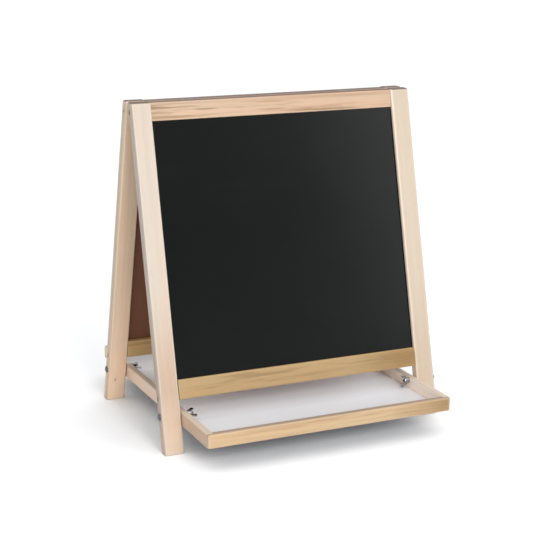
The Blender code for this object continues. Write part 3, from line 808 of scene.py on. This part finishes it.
def build_leg(row, label, side):
    axes = FRAME_AXES[row]
    node = f"{row}_leg_{label}"
    low, high = box_in(node, axes)
    own_side = side_of(low, high)
    slope = math.tan(LEAN)

    def level_ends(point):
        return Vector((point.x, point.y, point.z + point.y * slope))

    leg = timber(f"{node}_planed", rectangle(low, high, 2), level(0.0, 0.0), level(TOP, 0.0), 2, LEG_ROUND,
                 axes, stop_radius=LEG_TOP_ROUND, warp=level_ends, seed=len(row) + side)
    inner = min(low.x, high.x, key=abs)
    tools = [axis_cutter(bolt_with_head(row, label), axes, BOLT_HOLE, low.x - EMBED, high.x + EMBED)]
    board_low, board_high = box_in(f"{row}_board", axes)
    groove_x = sorted((inner - own_side * EMBED, inner + own_side * GROOVE_DEPTH))
    tools.append(block("groove", (groove_x[0], board_low.y - CLEAR, board_low.z - CLEAR),
                       (groove_x[1], board_high.y + CLEAR, board_high.z + CLEAR), axes))
    screws = []
    for number, spot in enumerate(("lower", "top")):
        screw = f"leg_screw_{row}_{label}_{spot}"
        place, length, head = screw_axes(screw, axes)
        tools.append(countersink(place, length, head))
        screws.append((screw, place, length, head, 17 + 53 * number + 31 * side))
    cut(leg, tools)
    dress(leg, [WOODS[node]], f"{row}_frame", [node])
    for screw, place, length, head, turn in screws:
        made = countersunk_screw(screw, place, length, head, turn)
        dress(made, [SCREW_STEEL], f"{row}_frame", [screw])


def rail_tools(row, node, axes):
    low, high = box_in(node, axes)
    tools = []
    for label in SIDES:
        for spot in ("lower", "top"):
            place, length, head = screw_axes(f"leg_screw_{row}_{label}_{spot}", axes)
            at = (axes.inverted() @ place).translation
            if low.z < at.z < high.z:
                tools.append(countersink(place, length, head))
    return tools


def build_lower_rail(row):
    axes = FRAME_AXES[row]
    node = f"{row}_lower_rail"
    low, high = box_in(node, axes)
    rail = timber(f"{node}_planed", rectangle(low, high, 0), low.x, high.x, 0, RAIL_ROUND, axes,
                  end_radius=SIDE_END_ROUND, seed=4.0 + len(row))
    tools = rail_tools(row, node, axes)
    tools.append(grown_box("groove", f"{row}_board", axes, CLEAR, {0: -1.0}, {0: 1.0, 2: high.z + EMBED}))
    cut(rail, tools)
    dress(rail, [WOODS[node]], f"{row}_frame", [node])


def leaf_screw_axes(node, axes):
    """Axes of a hinge screw that runs out along -y from the leaf's open face, x from head to tip."""
    low, high = box_in(node, axes)
    head = (high.x - low.x) / 2
    place = Matrix.Translation(((low.x + high.x) / 2, high.y, (low.z + high.z) / 2))
    return axes @ place @ Matrix.Rotation(-math.pi / 2, 4, "Z"), high.y - low.y, head


def build_top_rail(row):
    axes = FRAME_AXES[row]
    node = f"{row}_top_rail"
    low, high = box_in(node, axes)
    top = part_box(node)[1].z
    outline = [(low.y, low.z), (high.y, low.z), (high.y, level(top, high.y)), (low.y, level(top, low.y))]
    rail = timber(f"{node}_planed", outline, low.x, high.x, 0, RAIL_ROUND, axes, end_radius=SIDE_END_ROUND,
                  seed=7.0 + len(row))
    tools = rail_tools(row, node, axes)
    tools.append(grown_box("groove", f"{row}_board", axes, CLEAR, {0: -1.0, 2: low.z - EMBED}, {0: 1.0}))
    for label in SIDES:
        for spot in ("a", "b"):
            place, length, head = leaf_screw_axes(f"hinge_screw_{row}_{label}_{spot}", axes)
            tools.append(countersink(place, length, head, 20))
    cut(rail, tools)
    dress(rail, [WOODS[node]], f"{row}_frame", [node])


def build_board(row):
    """Hardboard panel, painted outside and bare inside, with the faint waviness of a thin sheet."""
    axes = FRAME_AXES[row]
    node = f"{row}_board"
    low, high = box_in(node, axes)
    columns, rows = 26, 26
    wave = 0.00010
    verts, faces, sheets = [], [], []
    for y in (low.y, high.y):
        grid = []
        for line in range(rows + 1):
            for column in range(columns + 1):
                x = low.x + (high.x - low.x) * column / columns
                z = low.z + (high.z - low.z) * line / rows
                shift = wave * noise.noise(Vector((x * 7.0, z * 7.0, 2.0 + len(row))))
                grid.append(len(verts))
                verts.append((x, y + shift, z))
        sheets.append(grid)
    across = columns + 1
    for sheet in sheets:
        for line in range(rows):
            for column in range(columns):
                first = line * across + column
                corners = (first, first + 1, first + 1 + across, first + across)
                faces.append(tuple(sheet[corner] for corner in corners))
    rim = list(range(across))
    rim += [line * across + columns for line in range(1, rows + 1)]
    rim += [rows * across + column for column in range(columns - 1, -1, -1)]
    rim += [line * across for line in range(rows - 1, 0, -1)]
    for spot, first in enumerate(rim):
        second = rim[(spot + 1) % len(rim)]
        faces.append((sheets[0][first], sheets[0][second], sheets[1][second], sheets[1][first]))
    board = add_mesh(f"{node}_sheet", verts, faces, axes)
    inner_faces = [face.index for face in board.data.polygons if face.normal.y > 0.5]
    dress(board, [BLACK[row], BARE[row]], f"{row}_frame", [node])
    for number in inner_faces:
        board.data.polygons[number].material_index = 1


def knuckles(node, axes, high):
    """x spans of a hinge leaf's knuckles, read from the CAD leaf's highest points."""
    back = axes.inverted()
    reach = high.z - 0.0006
    places = sorted({round((back @ vertex.co).x, 5) for vertex in node.data.vertices
                     if (back @ vertex.co).z > reach})
    return list(zip(places[::2], places[1::2]))


def build_hinge(label):
    for row in ("front", "rear"):
        axes = FRAME_AXES[row]
        node = f"hinge_leaf_{row}_{label}"
        low, high = box_in(node, axes)
        middle = (low.x + high.x) / 2
        barrel = high.z
        plate_y = (low.y, low.y + LEAF_PLATE)
        corner = 0.0022
        outline = [(high.x, 0.0), (low.x, 0.0)]
        for centre_x, first in ((low.x + corner, math.pi), (high.x - corner, math.pi * 1.5)):
            for step in range(7):
                angle = first + math.pi / 2 * step / 6
                outline.append((centre_x + corner * math.cos(angle),
                                low.z + corner + corner * math.sin(angle)))
        verts = [(u, y, v) for y in plate_y for u, v in outline]
        leaf = add_mesh(f"{node}_rolled", verts, slab_faces(len(outline)), axes)
        bevelled(leaf, 0.0002, 50)
        spans = knuckles(NODES[node], axes, high)
        gaps = []
        edges = [low.x] + [edge for span in spans for edge in span] + [high.x]
        for start, stop in zip(edges[::2], edges[1::2]):
            if stop - start > KNUCKLE_GAP:
                before = KNUCKLE_GAP if start == low.x else 0.0
                after = KNUCKLE_GAP if stop == high.x else 0.0
                gaps.append(block("gap", (start - before, -EMBED, -barrel - CLEAR),
                                  (stop + after, EMBED, EMBED), axes))
        cut(leaf, gaps)
        # The rolls stop short of the gaps' faces, so that the two never lie in one plane
        shy = 0.00006
        rolls = [soft_rod("roll", start + shy, stop - shy, barrel - 0.00003, 0.0003, axes, 48)
                 for start, stop in spans]
        combine(leaf, rolls, "UNION")
        welded(leaf)
        tools = [rod("bore", -1.0, 1.0, PIN_HOLE, axes, 24)]
        for number, spot in enumerate(("a", "b")):
            screw = f"hinge_screw_{row}_{label}_{spot}"
            place, length, head = leaf_screw_axes(screw, axes)
            tools.append(countersink(place, length, head))
            made = countersunk_screw(screw, place, length, head, 25 + 40 * number + middle * 300, 32)
            dress(made, [HINGE_STEEL], f"{row}_frame", [screw])
        cut(leaf, tools)
        dress(leaf, [HINGE_STEEL], f"{row}_frame", [node])
    pin = f"hinge_pin_{label}"
    low, high = box_in(pin, FRONT_AXES)
    shaft = soft_rod(f"{pin}_turned", low.x, high.x, (high.z - low.z) / 2, 0.0004, FRONT_AXES, 24)
    dress(shaft, [HINGE_STEEL], "front_frame", [pin])


def bolt_with_head(row, label):
    """Name of the bolt, or the head's part of it, that goes through a leg."""
    return f"bolt_front_{label}" if row == "front" else f"bolt_rear_head_{label}"


def threaded_bolt(name, place, head, head_height, under_head, thread_from, tip, turn):
    """Bolt along x: domed cross-recessed head, plain shank, then a helical thread to a chamfered tip."""
    radius = BOLT_RADIUS
    rows = []
    if head:
        rim = head_height * 0.24
        dome = 8
        for step in range(dome + 1):
            angle = math.pi / 2 * step / dome
            rows.append((under_head - rim - (head_height - rim) * math.cos(angle),
                         head * math.sin(angle), 0.0))
        rows.append((under_head - rim * 0.3, head, 0.0))
        rows.append((under_head, head * 0.97, 0.0))
    else:
        rows.append((under_head, 0.0, 0.0))
    rows.append((under_head, radius * 0.94, 0.0))
    rows.append((thread_from, radius * 0.94, 0.0))
    count = round((tip - thread_from) / (THREAD_PITCH / 8))
    for number in range(1, count):
        x = thread_from + (tip - thread_from) * number / count
        swell = min(1.0, number / 8)
        chamfer = max(0.0, 1.0 - (tip - x) / 0.0009)
        rows.append((x, radius * (0.94 + 0.06 * swell) * (1 - 0.28 * chamfer), swell * (1 - chamfer)))
    rows.append((tip, radius * 0.66, 0.0))
    rows.append((tip, 0.0, 0.0))

    def place_row(row, angle):
        x, size, depth = row
        phase = (x / THREAD_PITCH + angle / math.tau) % 1.0
        return x, size - THREAD_DEPTH * depth * abs(2 * phase - 1)

    verts, faces = revolve(rows, False, 36, place_row)
    bolt = add_mesh(name, verts, faces, place)
    if head:
        recess = place @ Matrix.Translation((under_head - head_height, 0.0, 0.0))
        cut(bolt, cross_recess(recess, head * 0.46, head_height * 0.45, head * 0.09, turn))
    return bolt


def build_bolts():
    for label, side in SIDES.items():
        rear_end = f"bolt_rear_end_{label}"
        for row in ENDS:
            node = bolt_with_head(row, label)
            axes = FRAME_AXES[row]
            low, high = box_in(node, axes)
            place = axes @ on_axis(low, high) @ inwards(side_of(low, high))
            inner, outer = near_and_far(low, high)
            under_head = -near_and_far(*box_in(f"{row}_leg_{label}", axes))[1] - CLEAR
            thread, turn = (FRONT_THREAD, 30 + 20 * side) if row == "front" else (REAR_THREAD, 8 + 50 * side)
            bolt = threaded_bolt(f"{node}_turned", place, (high.z - low.z) / 2, outer + under_head,
                                 under_head, -inner - thread, -inner, turn)
            dress(bolt, [BOLT_STEEL], f"{row}_frame", [node])
        low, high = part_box(rear_end)
        inner, outer = near_and_far(low, high)
        bolt = threaded_bolt(f"{rear_end}_turned", on_axis(low, high) @ inwards(side), 0.0, 0.0, -outer,
                             -inner - FRONT_THREAD, -inner, 0)
        dress(bolt, [BOLT_STEEL], "tray", [rear_end])


def build_washer(row, label):
    node = f"washer_{row}_{label}"
    low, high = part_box(node)
    radius = (high.z - low.z) / 2
    bore = BOLT_HOLE
    soft = 0.00018
    thick = high.x - low.x
    section = [(0.0, bore + soft), (0.0, radius - soft), (soft, radius), (thick - soft, radius),
               (thick, radius - soft), (thick, bore + soft), (thick - soft, bore), (soft, bore)]
    washer = turned(f"{node}_pressed", section, on_axis(low, high, low.x), 48, closed=True)
    dress(washer, [ZINC], "tray", [node])


def build_wing_nut(row, label, side):
    """Cast wing nut: hub and flared wings melted into one body, bored for its bolt."""
    node = f"wing_nut_{row}_{label}"
    axis_at = Vector(JOINTS[f"{node}_spin"]["pos_m"])
    low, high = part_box(node)
    wall_x = low.x if abs(low.x) > abs(high.x) else high.x
    spread = [(vertex.co.y - axis_at.y, vertex.co.z - axis_at.z) for vertex in NODES[node].data.vertices]
    # The CAD nut's wings give the turn that this one starts from
    tilt = 0.5 * math.atan2(2 * sum(y * z for y, z in spread),
                            sum(z * z for y, z in spread) - sum(y * y for y, z in spread))
    reach = max(math.hypot(y, z) for y, z in spread)
    rise = high.x - low.x
    place = (Matrix.Translation((wall_x, axis_at.y, axis_at.z)) @ Matrix.Rotation(-tilt, 4, "X")
             @ inwards(side))
    hub = turned(f"{node}_cast", [(0.0, 0.0), (0.0, 0.0050), (0.0006, 0.0056), (0.0022, 0.0054),
                                  (HUB_HEIGHT - 0.0012, 0.0045), (HUB_HEIGHT - 0.0004, 0.0042),
                                  (HUB_HEIGHT, 0.0037), (HUB_HEIGHT, 0.0)], place, 48)
    wings = []
    for sign in (-1, 1):
        tip = Vector((rise - WING_INSET, 0.0, reach - WING_INSET))
        outline = []
        for step in range(15):
            angle = math.radians(128 - 206 * step / 14)
            outline.append((tip.x + WING_TIP * math.cos(angle), tip.z + WING_TIP * math.sin(angle)))
        outline = [(0.0010, 0.0030), (0.0012, 0.0052), (0.0036, 0.0076), *outline, (0.0096, 0.0066),
                   (0.0076, 0.0044), (0.0070, 0.0030)]
        verts = []
        for face_side in (-1, 1):
            for x, r in outline:
                thin = 0.00125 - 0.00045 * min(1.0, max(0.0, (r - 0.005) / 0.007))
                verts.append((x, face_side * thin, sign * r))
        wings.append(add_mesh("wing", verts, slab_faces(len(outline)), place))
    combine(hub, wings, "UNION")
    melt = hub.modifiers.new("melt", "REMESH")
    melt.mode = "VOXEL"
    melt.voxel_size = MELT_VOXEL
    apply_modifiers(hub)
    soften = hub.modifiers.new("soften", "SMOOTH")
    soften.factor = 0.5
    soften.iterations = 7
    apply_modifiers(hub)
    cut(hub, [rod("bore", -0.01, 0.02, BOLT_HOLE, place, 40)])
    dress(hub, [ZINC], node, [node], sharp=38)


def nail_shape(name, place, length, radius):
    """Nail along x: a slightly domed head flush with the wood, and a pointed tip."""
    profile = [(0.0, 0.0), (0.00005, radius * 0.7), (0.00025, radius), (length - radius * 2, radius),
               (length, 0.0)]
    return turned(name, profile, place, 20)


def nail_hole(row, label):
    """Cutter for a tray nail's hole, open at the outer face."""
    place, length, head = screw_axes(f"tray_nail_{row}_{label}", ROOM)
    opened = place @ Matrix.Translation((-0.003, 0, 0))
    return nail_shape("hole", opened, length + 0.003, head + CLEAR / 2)


def build_tray():
    panel = "tray_panel"
    panel_low, panel_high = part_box(panel)
    for label, side in SIDES.items():
        node = f"tray_side_{label}"
        low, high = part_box(node)
        wood_side = timber(f"{node}_planed", rectangle(low, high, 1), low.y, high.y, 1, TRAY_ROUND, ROOM,
                           end_radius=SIDE_END_ROUND, seed=20.0 + side)
        tools = [grown_box("groove", panel, ROOM, CLEAR)]
        for bolt in (f"bolt_front_{label}", f"bolt_rear_end_{label}"):
            tools.append(axis_cutter(bolt, ROOM, BOLT_HOLE, low.x - EMBED, high.x + EMBED))
        tools += [nail_hole(row, label) for row in ENDS]
        cut(wood_side, tools)
        dress(wood_side, [WOODS[node]], "tray", [node])
    for row, end in ENDS.items():
        node = f"tray_rail_{row}"
        low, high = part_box(node)
        rail = timber(f"{node}_planed", rectangle(low, high, 0), low.x, high.x, 0, TRAY_ROUND, ROOM,
                      end_radius=RAIL_END_ROUND, seed=24.0 + end)
        tools = [grown_box("groove", panel, ROOM, CLEAR)]
        for label, side in SIDES.items():
            side_low, side_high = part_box(f"tray_side_{label}")
            lip_y = side_low.y if end < 0 else side_high.y
            y_low, y_high = sorted((lip_y + end * CLEAR, lip_y - end * 0.05))
            x_low, x_high = sorted((side * (near_and_far(side_low, side_high)[0] - CLEAR), side * 0.3))
            tools.append(block("lap", (x_low, y_low, low.z - EMBED), (x_high, y_high, high.z + EMBED)))
            tools.append(nail_hole(row, label))
        cut(rail, tools)
        dress(rail, [WOODS[node]], "tray", [node])
    for row in ENDS:
        for label in SIDES:
            node = f"tray_nail_{row}_{label}"
            place, length, head = screw_axes(node, ROOM)
            nail = nail_shape(f"{node}_wire", place, length, head)
            dress(nail, [SCREW_STEEL], "tray", [node])
    sheet = block(f"{panel}_sheet", panel_low, panel_high)
    bevelled(sheet, 0.0003)
    dress(sheet, [WHITE, BARE["tray"]], "tray", [panel])
    for face in sheet.data.polygons:
        face.material_index = 1 if face.normal.z < -0.5 else 0


# ---- room
def card_glow(tree, x, y, z):
    """Strength of the tall soft card at the right, seen from the easel in the direction x, y, z."""
    bearing = tree.math("ARCTAN2", x, tree.times(y, -1.0))
    across = tree.times(tree.node("ShaderNodeMapRange", i0=bearing, i1=0.480, i2=0.60),
                        tree.reach(bearing, 0.64, 0.78, 1.0, 0.0))
    return tree.times(across, tree.times(tree.plus(z, 0.115), 12.1))


def build_floor():
    tree = Tree("studio_floor")
    place = tree.place()
    grain = tree.noise(place, 40.0, detail=3.0)
    # The foot of the card stands on the part of the floor that curves up
    x, y, z = tree.parts(place)
    rise = tree.math("DIVIDE", z, tree.length(place))
    foot = tree.times(card_glow(tree, x, y, rise), tree.reach(rise, 0.09, 0.13))
    glow = tree.plus(tree.math("MAXIMUM", foot, 0.0), 0.02)
    tree.set(Base_Color=tree.mix(grain, (0.935, 0.950, 0.965), (0.950, 0.965, 0.980)), Roughness=0.9,
             Specular_IOR_Level=0.1, Emission_Color=(1.0, 1.0, 1.0), Emission_Strength=glow)
    # A disc that curves up far behind the easel, so that low views meet no hard edge
    sweep = [(14.0, 0.0), (16.0, 0.10), (17.6, 0.42), (18.8, 0.98), (19.6, 1.75), (20.0, 2.7), (20.1, 3.8)]
    count = 96
    verts = [(0.0, 0.0, FLOOR_Z)]
    for radius, height in sweep:
        for step in range(count):
            angle = math.tau * step / count
            verts.append((radius * math.cos(angle), radius * math.sin(angle), FLOOR_Z + height))
    faces = [(0, 1 + step, 1 + (step + 1) % count) for step in range(count)]
    for ring in range(len(sweep) - 1):
        for step in range(count):
            beside = (step + 1) % count
            inner, outer = 1 + ring * count, 1 + (ring + 1) * count
            faces.append((inner + step, outer + step, outer + beside, inner + beside))
    floor = add_mesh("studio_floor", verts, faces)
    floor.data.materials.append(tree.material)
    floor.data.shade_smooth()
    if floor.data.polygons[0].normal.z < 0:
        floor.data.flip_normals()


def build_light():
    """A white dome, brighter overhead, with a tall soft card to the right and a lamp in front."""
    world = bpy.data.worlds.new("soft_dome")
    bpy.context.scene.world = world
    tree = Tree("soft_dome", world)
    x, y, z = tree.parts(tree.place(output=0))
    dome = tree.plus(tree.times(z, SKY_RISE), SKY_BASE)
    dome = tree.plus(dome, tree.plus(tree.times(x, SKY_ASIDE[0]), tree.times(y, SKY_ASIDE[1])))
    card = tree.times(card_glow(tree, x, y, z), tree.reach(z, 0.34, 0.48, 1.0, 0.0))
    total = tree.plus(tree.math("MAXIMUM", dome, 0.0), tree.math("MAXIMUM", card, 0.0))
    tree.set(Color=(1.0, 1.0, 1.0), Strength=total)
    data = bpy.data.lights.new("soft_box", "AREA")
    data.shape = "DISK"
    data.size = 0.8
    data.energy = 24.0
    lamp = linked("soft_box", data)
    lamp.location = LAMP_AT
    lamp.rotation_euler = (Vector(LAMP_AIM) - Vector(LAMP_AT)).to_track_quat("-Z", "Y").to_euler()


def build_camera():
    data = bpy.data.cameras.new("photo_view")
    data.sensor_width = 36.0
    data.lens = CAMERA_LENS
    data.clip_start = 0.05
    data.clip_end = 100.0
    camera = linked("photo_view", data)
    bpy.context.scene.camera = camera
    azimuth, elevation, roll = (math.radians(value) for value in CAMERA_TURN)
    back = Vector((-math.sin(azimuth) * math.cos(elevation), -math.cos(azimuth) * math.cos(elevation),
                   math.sin(elevation)))
    right = (-back).cross(Vector((0.0, 0.0, 1.0))).normalized()
    up = right.cross(-back)
    across = right * math.cos(roll) + up * math.sin(roll)
    above = up * math.cos(roll) - right * math.sin(roll)
    place = Vector(CAMERA_AIM) + back * CAMERA_DISTANCE
    camera.matrix_world = Matrix.Translation(place) @ Matrix((across, above, back)).transposed().to_4x4()


for row in ENDS:
    for label, side in SIDES.items():
        build_leg(row, label, side)
        build_washer(row, label)
        build_wing_nut(row, label, side)
    build_lower_rail(row)
    build_top_rail(row)
    build_board(row)
for label in SIDES:
    build_hinge(label)
build_bolts()
build_tray()
build_floor()
build_light()
build_camera()
bpy.context.scene.view_settings.view_transform = "Standard"
